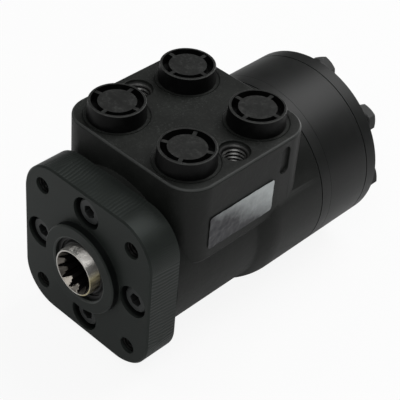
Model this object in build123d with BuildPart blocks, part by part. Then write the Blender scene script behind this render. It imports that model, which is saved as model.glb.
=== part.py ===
"""Orbital steering unit: a spool and sleeve valve in a ported housing, driving a gerotor set.

The shaft runs along Y. The column flange's face lies at y = 0 and faces -Y, the ports point up,
and the origin is where the shaft axis crosses that face. All sizes are in millimetres.
"""

from build123d import *
import math
import os

os.makedirs("parts", exist_ok=True)

# ---------------------------------------------------------------- clearances
running_gap = 0.04  # radial, between turning parts
thread_gap = 0.02  # radial, between a screw's shank and its tapped hole
end_gap = 0.05  # axial, on each side of the rotor
mesh_gap = 0.12  # between rotor and lobes
face_gap = 0.2  # axial, at the valve's rear end
overcut = 1.0  # how far a cutter runs past the surface it opens

# ---------------------------------------------------------------- column flange
bolt_circle = 82.5  # four tapped holes for the steering column
column_hole_r = 4.25  # drilled for M10
column_hole_depth = 15.0
flange_side = 83.6
flange_thick = 17.5
flange_corner_r = 20.0
flange_edge = 0.8
boss_r = 22.8
boss_height = 4.2
boss_chamfer = 0.7
seal_bore_r = 16.2
seal_bore_edge = 0.6
seal_shoulder_y = 6.4
bearing_pocket_r = 20.0
bearing_pocket_depth = 5.0

# ---------------------------------------------------------------- flange screws, M8 socket heads
cap_circle_r = 31.2
cap_shank_r = 4.0
cap_head_r = 6.5
cap_head_height = 8.0
cap_hex = 6.0  # across flats
cap_hex_depth = 4.2
cap_head_chamfer = 0.6
cap_sink = 2.0  # head's face below the flange's face
cap_counterbore_r = 8.1
cap_clearance_r = 4.4
cap_grip = 15.0  # thread held in the housing

# ---------------------------------------------------------------- housing
bore_r = 19.0
block_front_y = 20.5
block_back_y = 102.0
block_corner_r = 14.5
block_top_z = 54.7
block_skirt_z = 13.0
skirt_drop = 5.0
skirt_slope = 30.0  # degrees
spring_chamber_r = 21.0
spring_chamber_depth = 14.0
drill_point = 1.5
block_edge = 0.9
rear_flange_y = 84.0
rear_round_r = 28.0
rear_wall = 8.7  # from the rear screws' circle to the rim
rear_step = 3.7  # the body's radius is this much under the rear flange's
housing_back_y = 113.5
rim_chamfer = 0.5

# ---------------------------------------------------------------- ports
port_x = 22.3  # half the spacing across
port_front_y = 38.3
port_spacing_y = 45.3
port_thread_r = 9.3  # drilled for G 1/2
port_depth = 16.0
port_passage_r = 5.0
port_spot_r = 15.6
port_spot_depth = 0.3
way_r = 3.0  # slanted way from a port's well into the bore
way_rise = 3.5
way_aim = 0.42  # aims below the bore's crown
way_share = 0.72
stud_hole_x = 31.0
stud_hole_y = 59.8
stud_hole_r = 5.9  # drilled for M14
stud_hole_depth = 16.0
stud_mouth_r = 7.3
stud_mouth_depth = 1.2

# ---------------------------------------------------------------- port plugs
plug_flange_r = 13.9
plug_height = 8.2
plug_draft = 4.0  # degrees, on the cap's side
plug_edge = 0.4
plug_skirt_length = 9.0
plug_wall = 1.6
plug_slot_r = 12.1
plug_hub_r = 9.0
plug_hub_sink = 0.6  # hub and spokes lie below the rim
plug_slot_depth = 4.5
plug_spoke = 1.9
plug_turns = {"p": 12.0, "t": 0.0, "l": 27.0, "r": 8.0}  # how far each is screwed round

# ---------------------------------------------------------------- cast marks and blank label
label_y = (34.5, 77.0)
label_z = (18.0, 36.3)
label_thick = 0.25
label_corner_r = 1.5
pocket_y = 83.2
pocket_z = 43.5
pocket_length = 15.0
pocket_width = 5.6
pocket_depth = 1.4

# ---------------------------------------------------------------- gear set
lobes = 7
eccentricity = 2.7
lobe_circle_r = 28.2
lobe_r = 4.8
rotor_spline_teeth = 12
rotor_spline_tip_r = 9.4
rotor_spline_root_r = 11.1
rotor_spline_gap_width = 3.3
plate_thick = 6.5
ring_thick = 27.9
cover_thick = 8.0
cover_chamfer = 1.2
plate_bore_r = 11.2
plate_port_r = 1.9
plate_port_circle_r = 25.6

# ---------------------------------------------------------------- rear screws, M8 hexagon heads
rear_shank_r = 4.0
rear_clearance_r = 4.2
rear_hex = 13.0  # across flats
rear_head_height = 5.5
rear_head_chamfer = 0.3
head_cone = 30.0  # degrees
rear_grip = 14.0
washer_r = 7.7
washer_thick = 1.5

# ---------------------------------------------------------------- valve spool and sleeve
neck_r = 12.0
nose_y = -7.1
nose_taper = 0.4  # radial, at the nose's outer edge
nose_taper_length = 1.5
nose_rim = 0.7  # the nose's face, between its outer edge and the lead-in cone
spline_root_r = 10.0
spline_tip_r = 8.4
spline_teeth = 12
spline_tooth_tip = 2.3
spline_tooth_base = 4.9
spline_lead = 4.0
spline_depth = 22.0
sleeve_front_y = 16.5
spool_front_y = 19.0
spool_wall_r = 14.6  # the joint between spool and sleeve
spool_bore_r = 10.9
spool_bore_start_y = 44.0
groove_depth = 1.2
groove_width = 5.0
sleeve_hole_r = 1.6
sleeve_rows_y = (38.3, 70.0, 83.6)
sleeve_holes = 6

# ---------------------------------------------------------------- centring springs
spring_slot_y = 26.5
spring_slot_length = 6.4
spring_slot_height = 5.0
leaf_thick = 0.6
leaf_end_gap = 0.75  # radial, to the ring over the leaves
leaf_width = 5.6
leaf_bow = 1.6  # how far each leaf's ends stand off the middle
leaf_seat = 4.0  # where the leaves lie on each other
spring_ring_y = (22.6, 30.4)
spring_ring_wall = 1.6

# ---------------------------------------------------------------- cross pin and cardan shaft
pin_y = 55.0
pin_r = 3.0
pin_end_gap = 0.26  # radial, to the housing's bore
pin_play = 2.3  # radial room in the spool, which sets the valve's travel
fork_gap = 0.15
fork_depth = 12.0
fork_r = 10.1
cardan_start = 8.0  # ahead of the pin
cardan_shaft_r = 7.6
cardan_root_r = 8.8
cardan_tip_r = 10.6
cardan_crown = 0.35
cardan_tooth_play = 0.8
cardan_head_length = 13.0
button_gap = 0.3
flank_arc_count = 8  # on each rotor tooth
spacer_thick = 4.0
spacer_r = 9.1

# ---------------------------------------------------------------- bearing and seals
race_thick = 1.0
race_r = 19.4
race_bore_r = 12.6
needle_r = 0.95
needle_length = 4.0
needle_count = 18
cage_thick = 1.2
cage_r = 18.8
cage_bore_r = 13.4
dust_seal_y = (-1.6, 1.6)
shaft_seal_y = (2.2, 5.8)
seal_rim = 1.6  # radial, the seal's stiff outer ring
seal_relief = 1.2  # axial depth between rim and lip
lip_width = 0.9
ring_groove_depth = 1.6
ring_groove_half = 1.15
ring_clearance = 0.1
groove_land = 0.8  # metal on each side of a ring groove

# ---------------------------------------------------------------- check valve
check_bush_bore_r = 2.4
check_bush_length = 6.0
check_ball_r = 3.9
check_lift = 2.0
check_floor_gap = 0.02

# ---------------------------------------------------------------- stations along the shaft
port_back_y = port_front_y + port_spacing_y
spline_mouth_r = neck_r - nose_taper - nose_rim
plate_back_y = housing_back_y + plate_thick
ring_back_y = plate_back_y + ring_thick
cover_back_y = ring_back_y + cover_thick
rotor_mid_y = (plate_back_y + ring_back_y) / 2
sleeve_back_y = housing_back_y - face_gap
bearing_front_y = flange_thick - bearing_pocket_depth
front_ring_r = cap_circle_r - cap_clearance_r - groove_land - ring_groove_half
leaf_length = 2 * (bore_r - running_gap - leaf_end_gap)
pin_length = 2 * (bore_r - running_gap - pin_end_gap)
root_r = lobe_circle_r - lobe_r + 2 * eccentricity
rotor_teeth = lobes - 1
rear_ring_r = root_r + mesh_gap + groove_land + ring_groove_half
rear_circle_r = rear_ring_r + ring_groove_half + groove_land + rear_clearance_r
rear_r = rear_circle_r + rear_wall
body_r = rear_r - rear_step
block_half = body_r  # the block's sides stand over the body's
ball_drop = math.sqrt(check_ball_r**2 - check_bush_bore_r**2)  # its centre below the seat
well_floor_z = (
    block_top_z
    - port_depth
    - check_bush_length
    - ball_drop
    - check_lift
    - check_ball_r
    - check_floor_gap
)
column_offset = bolt_circle / 2 * math.cos(math.radians(45))
ports = {
    "p": (-port_x, port_front_y),
    "t": (-port_x, port_back_y),
    "l": (port_x, port_front_y),
    "r": (port_x, port_back_y),
}


def station(y):
    """The plane across the shaft at y, seen from the column side: x right, z up."""
    return Plane.XZ.offset(-y)


def finish(piece, name):
    """Labels a piece and writes it."""
    piece.part.label = name
    export_step(piece.part, f"parts/{name}.step")


# ---------------------------------------------------------------- front flange
with BuildPart() as front_flange:
    with BuildSketch(station(0)):
        RectangleRounded(flange_side, flange_side, flange_corner_r)
    extrude(amount=-flange_thick)
    chamfer(front_flange.edges().group_by(Axis.Y)[0], flange_edge)
    with BuildSketch(station(0)):
        Circle(boss_r)
    extrude(amount=boss_height)
    chamfer(front_flange.edges().group_by(Axis.Y)[0], boss_chamfer)
    with BuildSketch(Plane.XY):
        with BuildLine():
            Polyline(
                (0, -boss_height),
                (seal_bore_r + seal_bore_edge, -boss_height),
                (seal_bore_r, seal_bore_edge - boss_height),
                (seal_bore_r, seal_shoulder_y),
                (neck_r + 2 * running_gap, seal_shoulder_y),
                (neck_r + 2 * running_gap, bearing_front_y),
                (bearing_pocket_r, bearing_front_y),
                (bearing_pocket_r, flange_thick),
                (0, flange_thick),
                close=True,
            )
        make_face()
    revolve(axis=Axis.Y, mode=Mode.SUBTRACT)
    with Locations(station(0)):
        with GridLocations(2 * column_offset, 2 * column_offset, 2, 2):
            Hole(column_hole_r, depth=column_hole_depth)
        with PolarLocations(cap_circle_r, 4):
            CounterBoreHole(
                cap_clearance_r,
                cap_counterbore_r,
                counter_bore_depth=cap_sink + cap_head_height,
                depth=flange_thick,
            )
    with BuildSketch(station(flange_thick)):
        Circle(front_ring_r + ring_groove_half)
        Circle(front_ring_r - ring_groove_half, mode=Mode.SUBTRACT)
    extrude(amount=ring_groove_depth, mode=Mode.SUBTRACT)
finish(front_flange, "front_flange")

# ---------------------------------------------------------------- flange screws
cap_seat_y = cap_sink + cap_head_height
with BuildPart() as flange_screws:
    with BuildSketch(station(cap_sink)):
        with PolarLocations(cap_circle_r, 4):
            Circle(cap_head_r)
    extrude(amount=-cap_head_height)
    chamfer(flange_screws.edges().group_by(Axis.Y)[0], cap_head_chamfer)
    with BuildSketch(station(cap_sink)):
        with PolarLocations(cap_circle_r, 4):
            RegularPolygon(cap_hex / 2, 6, major_radius=False)
    extrude(amount=-cap_hex_depth, mode=Mode.SUBTRACT)
    with BuildSketch(station(cap_seat_y)):
        with PolarLocations(cap_circle_r, 4):
            Circle(cap_shank_r)
    extrude(amount=-(flange_thick - cap_seat_y + cap_grip))
finish(flange_screws, "flange_screws")

# ---------------------------------------------------------------- housing
with BuildPart() as housing:
    # Port block: upright sides on a rounded outline, stepping in below the skirt.
    with BuildSketch(Plane.XY.offset(block_skirt_z)) as block_outline:
        with Locations((0, (block_front_y + block_back_y) / 2)):
            Rectangle(2 * block_half, block_back_y - block_front_y)
        fillet(block_outline.vertices(), block_corner_r)
    extrude(amount=block_top_z - block_skirt_z)
    chamfer(housing.faces().sort_by(Axis.Z)[-1].edges(), block_edge)
    skirt = housing.faces().sort_by(Axis.Z)[0]
    extrude(skirt, amount=skirt_drop, taper=skirt_slope)
    # Round body, and the rear flange with its rounded front edge.
    round_start = math.acos(1 - rear_step / rear_round_r)
    with BuildSketch(Plane.XY):
        with BuildLine():
            front = Polyline(
                (0, flange_thick),
                (body_r, flange_thick),
                (body_r, rear_flange_y - rear_round_r * math.sin(round_start)),
            )
            rounding = ThreePointArc(
                front @ 1,
                (
                    rear_r - rear_round_r * (1 - math.cos(round_start / 2)),
                    rear_flange_y - rear_round_r * math.sin(round_start / 2),
                ),
                (rear_r, rear_flange_y),
            )
            Polyline(
                rounding @ 1,
                (rear_r, housing_back_y - rim_chamfer),
                (rear_r - rim_chamfer, housing_back_y),
                (0, housing_back_y),
                front @ 0,
            )
        make_face()
    revolve(axis=Axis.Y)
    # Valve bore with the spring chamber at its front.
    with BuildSketch(station(flange_thick)):
        Circle(bore_r)
    extrude(amount=flange_thick - housing_back_y, mode=Mode.SUBTRACT)
    with BuildSketch(station(flange_thick)):
        Circle(spring_chamber_r)
    extrude(amount=-spring_chamber_depth, mode=Mode.SUBTRACT)
    # Tapped holes at both ends, and the rear ring's groove.
    with BuildSketch(station(flange_thick)):
        with PolarLocations(cap_circle_r, 4):
            Circle(cap_shank_r + thread_gap)
    extrude(amount=-(cap_grip + drill_point), mode=Mode.SUBTRACT)
    with BuildSketch(station(housing_back_y)):
        with PolarLocations(rear_circle_r, lobes, start_angle=90):
            Circle(rear_shank_r + thread_gap)
    extrude(amount=rear_grip + drill_point, mode=Mode.SUBTRACT)
    with BuildSketch(station(housing_back_y)):
        Circle(rear_ring_r + ring_groove_half)
        Circle(rear_ring_r - ring_groove_half, mode=Mode.SUBTRACT)
    extrude(amount=ring_groove_depth, mode=Mode.SUBTRACT)
    # Ports: a tapped mouth in a spot face, a drilled well and a slanted way into the bore.
    with BuildSketch(Plane.XY.offset(block_top_z)):
        with Locations(*ports.values()):
            Circle(port_spot_r)
    extrude(amount=-port_spot_depth, mode=Mode.SUBTRACT)
    with BuildSketch(Plane.XY.offset(block_top_z)):
        with Locations(*ports.values()):
            Circle(port_thread_r)
    extrude(amount=-port_depth, mode=Mode.SUBTRACT)
    with BuildSketch(Plane.XY.offset(block_top_z)):
        with Locations(*ports.values()):
            Circle(port_passage_r)
    extrude(amount=well_floor_z - block_top_z, mode=Mode.SUBTRACT)
    for x, y in ports.values():
        start = Vector(x, y, well_floor_z + way_rise)
        target = Vector(0, y, bore_r * way_aim)
        reach = (start - target).length * way_share
        with Locations(Plane(origin=start, z_dir=target - start)):
            Cylinder(way_r, reach, align=(Align.CENTER, Align.CENTER, Align.MIN), mode=Mode.SUBTRACT)
    # Two tapped holes, each with a bevel under a shallow counterbore.
    with BuildSketch(Plane.XY.offset(block_top_z)):
        with Locations((-stud_hole_x, stud_hole_y), (stud_hole_x, stud_hole_y)):
            Circle(stud_mouth_r)
    extrude(amount=-stud_mouth_depth, mode=Mode.SUBTRACT)
    with Locations(Plane.XY.offset(block_top_z - stud_mouth_depth)):
        with Locations((-stud_hole_x, stud_hole_y), (stud_hole_x, stud_hole_y)):
            CounterSinkHole(
                stud_hole_r,
                stud_mouth_r,
                depth=stud_hole_depth - stud_mouth_depth,
                counter_sink_angle=90,
            )
    # Cast pockets on both sides of the block.
    for inner in (block_half - pocket_depth, -block_half - block_edge):
        with BuildSketch(Plane.YZ.offset(inner)):
            with Locations((pocket_y, pocket_z)):
                SlotOverall(pocket_length, pocket_width, rotation=90)
        extrude(amount=pocket_depth + block_edge, mode=Mode.SUBTRACT)
finish(housing, "housing")

# ---------------------------------------------------------------- blank label
with BuildPart() as blank_label:
    with BuildSketch(Plane.YZ.offset(block_half)):
        with Locations(((label_y[0] + label_y[1]) / 2, (label_z[0] + label_z[1]) / 2)):
            RectangleRounded(label_y[1] - label_y[0], label_z[1] - label_z[0], label_corner_r)
    extrude(amount=label_thick)
finish(blank_label, "blank_label")

# ---------------------------------------------------------------- port plugs
plug_seat_z = block_top_z - port_spot_depth
plug_top_z = block_top_z + plug_height
for key, (x, y) in ports.items():
    with BuildPart() as port_plug:
        with BuildSketch(Plane.XY.offset(plug_seat_z)):
            with Locations((x, y)):
                Circle(plug_flange_r)
        extrude(amount=plug_top_z - plug_seat_z, taper=plug_draft)
        fillet(port_plug.edges().group_by(Axis.Z)[-1], plug_edge)
        with BuildSketch(Plane.XY.offset(plug_seat_z)):
            with Locations((x, y)):
                Circle(port_thread_r - thread_gap)
        extrude(amount=-plug_skirt_length)
        with BuildSketch(Plane.XY.offset(plug_seat_z - plug_skirt_length)):
            with Locations((x, y)):
                Circle(port_thread_r - thread_gap - plug_wall)
        extrude(amount=plug_skirt_length + plug_height - plug_slot_depth, mode=Mode.SUBTRACT)
        # Four kidney slots between the rim and the hub.
        with BuildSketch(Plane.XY.offset(plug_top_z)):
            with Locations((x, y)):
                Circle(plug_slot_r)
        extrude(amount=-plug_hub_sink, mode=Mode.SUBTRACT)
        with BuildSketch(Plane.XY.offset(plug_top_z)):
            with Locations(Location((x, y), plug_turns[key])):
                Circle(plug_slot_r)
                Circle(plug_hub_r, mode=Mode.SUBTRACT)
                Rectangle(2 * plug_flange_r, plug_spoke, mode=Mode.SUBTRACT)
                Rectangle(plug_spoke, 2 * plug_flange_r, mode=Mode.SUBTRACT)
        extrude(amount=-plug_slot_depth, mode=Mode.SUBTRACT)
    finish(port_plug, f"port_plug_{key}")

# ---------------------------------------------------------------- check valve in the pump port
bush_top_z = block_top_z - port_depth
bush_seat_z = bush_top_z - check_bush_length
with BuildPart() as check_bush:
    with BuildSketch(Plane.XY.offset(bush_seat_z)):
        with Locations(ports["p"]):
            Circle(port_passage_r - thread_gap)
            Circle(check_bush_bore_r, mode=Mode.SUBTRACT)
    extrude(amount=check_bush_length)
finish(check_bush, "check_bush")

with BuildPart() as check_ball:
    with Locations((*ports["p"], well_floor_z + check_floor_gap + check_ball_r)):
        Sphere(check_ball_r)
finish(check_ball, "check_ball")

# ---------------------------------------------------------------- distributor plate
with BuildPart() as distributor_plate:
    with BuildSketch(station(housing_back_y)):
        Circle(rear_r)
        Circle(plate_bore_r, mode=Mode.SUBTRACT)
        with PolarLocations(rear_circle_r, lobes, start_angle=90):
            Circle(rear_clearance_r, mode=Mode.SUBTRACT)
        with PolarLocations(plate_port_circle_r, lobes, start_angle=90 + 180 / lobes):
            Circle(plate_port_r, mode=Mode.SUBTRACT)
    extrude(amount=-plate_thick)
    with BuildSketch(station(plate_back_y)):
        Circle(rear_ring_r + ring_groove_half)
        Circle(rear_ring_r - ring_groove_half, mode=Mode.SUBTRACT)
    extrude(amount=ring_groove_depth, mode=Mode.SUBTRACT)
finish(distributor_plate, "distributor_plate")

# ---------------------------------------------------------------- gear ring
with BuildPart() as gear_ring:
    with BuildSketch(station(plate_back_y)):
        Circle(rear_r)
        Circle(root_r + mesh_gap, mode=Mode.SUBTRACT)
        with PolarLocations(lobe_circle_r, lobes, start_angle=90):
            Circle(lobe_r)
        with PolarLocations(rear_circle_r, lobes, start_angle=90):
            Circle(rear_clearance_r, mode=Mode.SUBTRACT)
    extrude(amount=-ring_thick)
    rim = gear_ring.edges().filter_by(GeomType.CIRCLE).filter_by(lambda e: e.radius > rear_circle_r)
    chamfer(rim.sort_by(Axis.Y)[-1], rim_chamfer)
finish(gear_ring, "gear_ring")

# ---------------------------------------------------------------- rotor
rotor_offset = lobe_r + mesh_gap


def rotor_point(turn):
    """A point of the rotor's flank: the lobe centre's path, moved in by the lobe's radius."""
    path = lobe_circle_r * complex(math.cos(turn), math.sin(turn))
    ripple = eccentricity * complex(math.cos(lobes * turn), math.sin(lobes * turn))
    along = 1j * (path - lobes * ripple)
    flank = path - ripple + rotor_offset * 1j * along / abs(along)
    upright = flank * 1j  # a valley under the top lobe
    return (upright.real, upright.imag)


flank_arcs = rotor_teeth * flank_arc_count
flank_step = math.pi / flank_arcs  # half an arc
with BuildPart() as rotor:
    with BuildSketch(station(plate_back_y + end_gap)):
        with Locations((0, eccentricity)):
            with BuildSketch(mode=Mode.PRIVATE) as flank_sketch:
                with BuildLine():
                    for i in range(flank_arcs):
                        ThreePointArc(
                            rotor_point(2 * i * flank_step),
                            rotor_point((2 * i + 1) * flank_step),
                            rotor_point(2 * ((i + 1) % flank_arcs) * flank_step),
                        )
                make_face()
            add(flank_sketch.sketch)
            Circle(rotor_spline_tip_r, mode=Mode.SUBTRACT)
            with PolarLocations(0, rotor_spline_teeth):
                with Locations(((rotor_spline_tip_r + rotor_spline_root_r - overcut) / 2, 0)):
                    Rectangle(
                        rotor_spline_root_r - rotor_spline_tip_r + overcut,
                        rotor_spline_gap_width,
                        mode=Mode.SUBTRACT,
                    )
    extrude(amount=2 * end_gap - ring_thick)
finish(rotor, "rotor")

# ---------------------------------------------------------------- drive spacer
with BuildPart() as drive_spacer:
    with BuildSketch(station(ring_back_y - 2 * end_gap)):
        with Locations((0, eccentricity)):
            Circle(spacer_r)
    extrude(amount=spacer_thick)
finish(drive_spacer, "drive_spacer")

# ---------------------------------------------------------------- cardan shaft
# It leans from the cross pin, on the valve's axis, to the rotor's centre.
lean = Vector(0, rotor_mid_y - pin_y, eccentricity)
cardan_reach = lean.length
cardan_plane = Plane(origin=(0, pin_y, 0), x_dir=(1, 0, 0), z_dir=lean)
profile_plane = Plane(origin=(0, pin_y, 0), x_dir=(1, 0, 0), z_dir=-cardan_plane.y_dir)
cardan_axis = Axis((0, pin_y, 0), lean)
head_start = cardan_reach - cardan_head_length / 2
head_end = cardan_reach + cardan_head_length / 2
button_end = ring_back_y - 2 * end_gap - spacer_thick - end_gap - pin_y - button_gap

with BuildPart() as crowned_teeth:
    with BuildSketch(cardan_plane.offset(head_start)):
        with PolarLocations(0, rotor_spline_teeth):
            with Locations((cardan_tip_r / 2, 0)):
                Rectangle(cardan_tip_r, rotor_spline_gap_width - cardan_tooth_play)
    extrude(amount=cardan_head_length)
    with BuildSketch(profile_plane):
        with BuildLine():
            crown = ThreePointArc(
                (cardan_tip_r - cardan_crown, head_start),
                (cardan_tip_r, cardan_reach),
                (cardan_tip_r - cardan_crown, head_end),
            )
            Polyline(crown @ 1, (0, head_end), (0, head_start), crown @ 0)
        make_face()
    revolve(axis=cardan_axis, mode=Mode.INTERSECT)

with BuildPart() as cardan_shaft:
    with BuildSketch(profile_plane):
        with BuildLine():
            Polyline(
                (0, -cardan_start),
                (fork_r - cardan_crown, -cardan_start),
                (fork_r, 0),
                (fork_r - cardan_crown, cardan_start),
                (cardan_shaft_r, cardan_start + 2 * (fork_r - cardan_shaft_r)),
                (cardan_shaft_r, head_start - 2 * (cardan_root_r - cardan_shaft_r)),
                (cardan_root_r, head_start),
                (cardan_root_r, head_end),
                (cardan_shaft_r, head_end),
                (cardan_shaft_r, button_end),
                (0, button_end),
                close=True,
            )
        make_face()
    revolve(axis=cardan_axis)
    add(crowned_teeth.part)
    with BuildSketch(cardan_plane.offset(-cardan_start)):
        Rectangle(2 * (fork_r + overcut), 2 * (pin_r + fork_gap))
    extrude(amount=fork_depth, mode=Mode.SUBTRACT)
finish(cardan_shaft, "cardan_shaft")

# ---------------------------------------------------------------- end cover
with BuildPart() as end_cover:
    with BuildSketch(station(ring_back_y)):
        Circle(rear_r)
    extrude(amount=-cover_thick)
    chamfer(end_cover.edges().group_by(Axis.Y)[-1], cover_chamfer)
    with BuildSketch(station(ring_back_y)):
        with PolarLocations(rear_circle_r, lobes, start_angle=90):
            Circle(rear_clearance_r)
    extrude(amount=-cover_thick, mode=Mode.SUBTRACT)
    with BuildSketch(station(ring_back_y)):
        Circle(rear_ring_r + ring_groove_half)
        Circle(rear_ring_r - ring_groove_half, mode=Mode.SUBTRACT)
    extrude(amount=-ring_groove_depth, mode=Mode.SUBTRACT)
finish(end_cover, "end_cover")

# ---------------------------------------------------------------- rear screws and washers
with BuildPart() as cover_washers:
    with BuildSketch(station(cover_back_y)):
        with PolarLocations(rear_circle_r, lobes, start_angle=90):
            Circle(washer_r)
            Circle(rear_clearance_r, mode=Mode.SUBTRACT)
    extrude(amount=-washer_thick)
finish(cover_washers, "cover_washers")

rear_seat_y = cover_back_y + washer_thick
rear_shank_length = rear_seat_y - housing_back_y + rear_grip
with BuildPart() as rear_screw:
    with BuildSketch(Plane.XY):
        RegularPolygon(rear_hex / 2, 6, major_radius=False)
    extrude(amount=-rear_head_height)
    # The head's corners are turned off in a cone.
    Cone(
        rear_hex / 2 - rear_head_chamfer,
        rear_hex / 2 - rear_head_chamfer + rear_head_height / math.tan(math.radians(head_cone)),
        rear_head_height,
        align=(Align.CENTER, Align.CENTER, Align.MAX),
        mode=Mode.INTERSECT,
    )
    with BuildSketch(Plane.XY):
        Circle(rear_shank_r)
    extrude(amount=rear_shank_length)

with BuildPart() as cover_screws:
    with Locations(station(rear_seat_y)):
        with PolarLocations(rear_circle_r, lobes, start_angle=90):
            add(rear_screw.part)
finish(cover_screws, "cover_screws")

# ---------------------------------------------------------------- valve sleeve
with BuildPart() as valve_sleeve:
    with BuildSketch(station(sleeve_front_y)):
        Circle(bore_r - running_gap)
        Circle(spool_wall_r, mode=Mode.SUBTRACT)
    extrude(amount=sleeve_front_y - sleeve_back_y)
    for y in (port_front_y, port_back_y):
        with BuildSketch(station(y - groove_width / 2)):
            Circle(bore_r)
            Circle(bore_r - running_gap - groove_depth, mode=Mode.SUBTRACT)
        extrude(amount=-groove_width, mode=Mode.SUBTRACT)
    for y in sleeve_rows_y:
        for i in range(sleeve_holes // 2):
            turn = math.pi * (i + 0.5) / (sleeve_holes // 2)
            with Locations(Plane(origin=(0, y, 0), z_dir=(math.cos(turn), 0, math.sin(turn)))):
                Cylinder(sleeve_hole_r, 2 * bore_r, mode=Mode.SUBTRACT)
    with Locations(Plane.YZ.offset(0)):
        with Locations((pin_y, 0)):
            Cylinder(pin_r + thread_gap, 2 * bore_r, mode=Mode.SUBTRACT)
        with Locations((spring_slot_y, 0)):
            Box(spring_slot_length, spring_slot_height, 2 * bore_r, mode=Mode.SUBTRACT)
finish(valve_sleeve, "valve_sleeve")

# ---------------------------------------------------------------- valve spool
with BuildPart() as valve_spool:
    with BuildSketch(Plane.XY):
        with BuildLine():
            Polyline(
                (0, nose_y),
                (neck_r - nose_taper, nose_y),
                (neck_r, nose_y + nose_taper_length),
                (neck_r, spool_front_y),
                (spool_wall_r - running_gap, spool_front_y),
                (spool_wall_r - running_gap, sleeve_back_y),
                (spool_bore_r, sleeve_back_y),
                (spool_bore_r, spool_bore_start_y),
                (0, spool_bore_start_y),
                close=True,
            )
        make_face()
    revolve(axis=Axis.Y)
    # Splined socket for the steering column, with a lead-in cone.
    with BuildSketch(station(nose_y)):
        Circle(spline_root_r)
        with PolarLocations(0, spline_teeth):
            Polygon(
                (spline_tip_r, -spline_tooth_tip / 2),
                (spline_root_r + overcut, -spline_tooth_base / 2),
                (spline_root_r + overcut, spline_tooth_base / 2),
                (spline_tip_r, spline_tooth_tip / 2),
                align=None,
                mode=Mode.SUBTRACT,
            )
    extrude(amount=-spline_depth, mode=Mode.SUBTRACT)
    with BuildSketch(Plane.XY):
        with BuildLine():
            Polyline(
                (0, nose_y),
                (spline_mouth_r, nose_y),
                (spline_tip_r, nose_y + spline_lead),
                (0, nose_y + spline_lead),
                close=True,
            )
        make_face()
    revolve(axis=Axis.Y, mode=Mode.SUBTRACT)
    with Locations(Plane.YZ):
        with Locations((pin_y, 0)):
            Cylinder(pin_r + pin_play, 2 * bore_r, mode=Mode.SUBTRACT)
        with Locations((spring_slot_y, 0)):
            Box(spring_slot_length, spring_slot_height, 2 * bore_r, mode=Mode.SUBTRACT)
finish(valve_spool, "valve_spool")

# ---------------------------------------------------------------- cross pin
with BuildPart() as cross_pin:
    with Locations(Plane.YZ):
        with Locations((pin_y, 0)):
            Cylinder(pin_r, pin_length)
finish(cross_pin, "cross_pin")

# ---------------------------------------------------------------- centring springs and their ring
with BuildPart() as centring_springs:
    with BuildSketch(station(spring_slot_y - leaf_width / 2)):
        for side in (1, -1):
            with BuildLine():
                inner = ThreePointArc(
                    (-leaf_length / 2, side * leaf_bow), (0, 0), (leaf_length / 2, side * leaf_bow)
                )
                outer = ThreePointArc(
                    (leaf_length / 2, side * (leaf_bow + leaf_thick)),
                    (0, side * leaf_thick),
                    (-leaf_length / 2, side * (leaf_bow + leaf_thick)),
                )
                Line(inner @ 1, outer @ 0)
                Line(outer @ 1, inner @ 0)
            make_face()
        Rectangle(leaf_seat, leaf_thick)
    extrude(amount=-leaf_width)
finish(centring_springs, "centring_springs")

with BuildPart() as spring_ring:
    with BuildSketch(station(spring_ring_y[0])):
        Circle(bore_r - running_gap + spring_ring_wall)
        Circle(bore_r - running_gap, mode=Mode.SUBTRACT)
    extrude(amount=spring_ring_y[0] - spring_ring_y[1])
finish(spring_ring, "spring_ring")

# ---------------------------------------------------------------- thrust bearing
with BuildPart() as thrust_race_front:
    with BuildSketch(station(bearing_front_y)):
        Circle(race_r)
        Circle(race_bore_r, mode=Mode.SUBTRACT)
    extrude(amount=-race_thick)
finish(thrust_race_front, "thrust_race_front")

with BuildPart() as thrust_race_rear:
    with BuildSketch(station(sleeve_front_y - race_thick)):
        Circle(race_r)
        Circle(race_bore_r, mode=Mode.SUBTRACT)
    extrude(amount=-race_thick)
finish(thrust_race_rear, "thrust_race_rear")

needle_mid_y = bearing_front_y + race_thick + end_gap + needle_r
with BuildPart() as thrust_needles:
    with BuildSketch(station(needle_mid_y - cage_thick / 2)):
        Circle(cage_r)
        Circle(cage_bore_r, mode=Mode.SUBTRACT)
    extrude(amount=-cage_thick)
    with Locations(station(needle_mid_y)):
        with PolarLocations((cage_r + cage_bore_r) / 2, needle_count):
            Cylinder(needle_r, needle_length, rotation=(0, 90, 0))
finish(thrust_needles, "thrust_needles")

# ---------------------------------------------------------------- shaft seals and sealing rings
for name, (front, back) in {"dust_seal": dust_seal_y, "shaft_seal": shaft_seal_y}.items():
    lip_r = neck_r + running_gap
    with BuildPart() as seal:
        with BuildSketch(Plane.XY):
            Polygon(
                (lip_r, front),
                (lip_r + lip_width, front),
                (lip_r + 2 * lip_width, front + seal_relief),
                (seal_bore_r - seal_rim, front + seal_relief),
                (seal_bore_r - seal_rim, front),
                (seal_bore_r, front),
                (seal_bore_r, back),
                (lip_r, back),
                align=None,
            )
        revolve(axis=Axis.Y)
    finish(seal, name)

ring_places = {
    "flange_ring": (front_ring_r, flange_thick - ring_groove_depth / 2),
    "housing_ring": (rear_ring_r, housing_back_y - ring_groove_depth / 2),
    "plate_ring": (rear_ring_r, plate_back_y - ring_groove_depth / 2),
    "cover_ring": (rear_ring_r, ring_back_y + ring_groove_depth / 2),
}
for name, place in ring_places.items():
    with BuildPart() as sealing_ring:
        with BuildSketch(Plane.XY):
            with Locations(place):
                Rectangle(
                    2 * (ring_groove_half - ring_clearance),
                    ring_groove_depth - 2 * thread_gap,
                )
        revolve(axis=Axis.Y)
    finish(sealing_ring, name)
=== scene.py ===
import bpy
import math
from mathutils import Matrix, Vector


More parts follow.
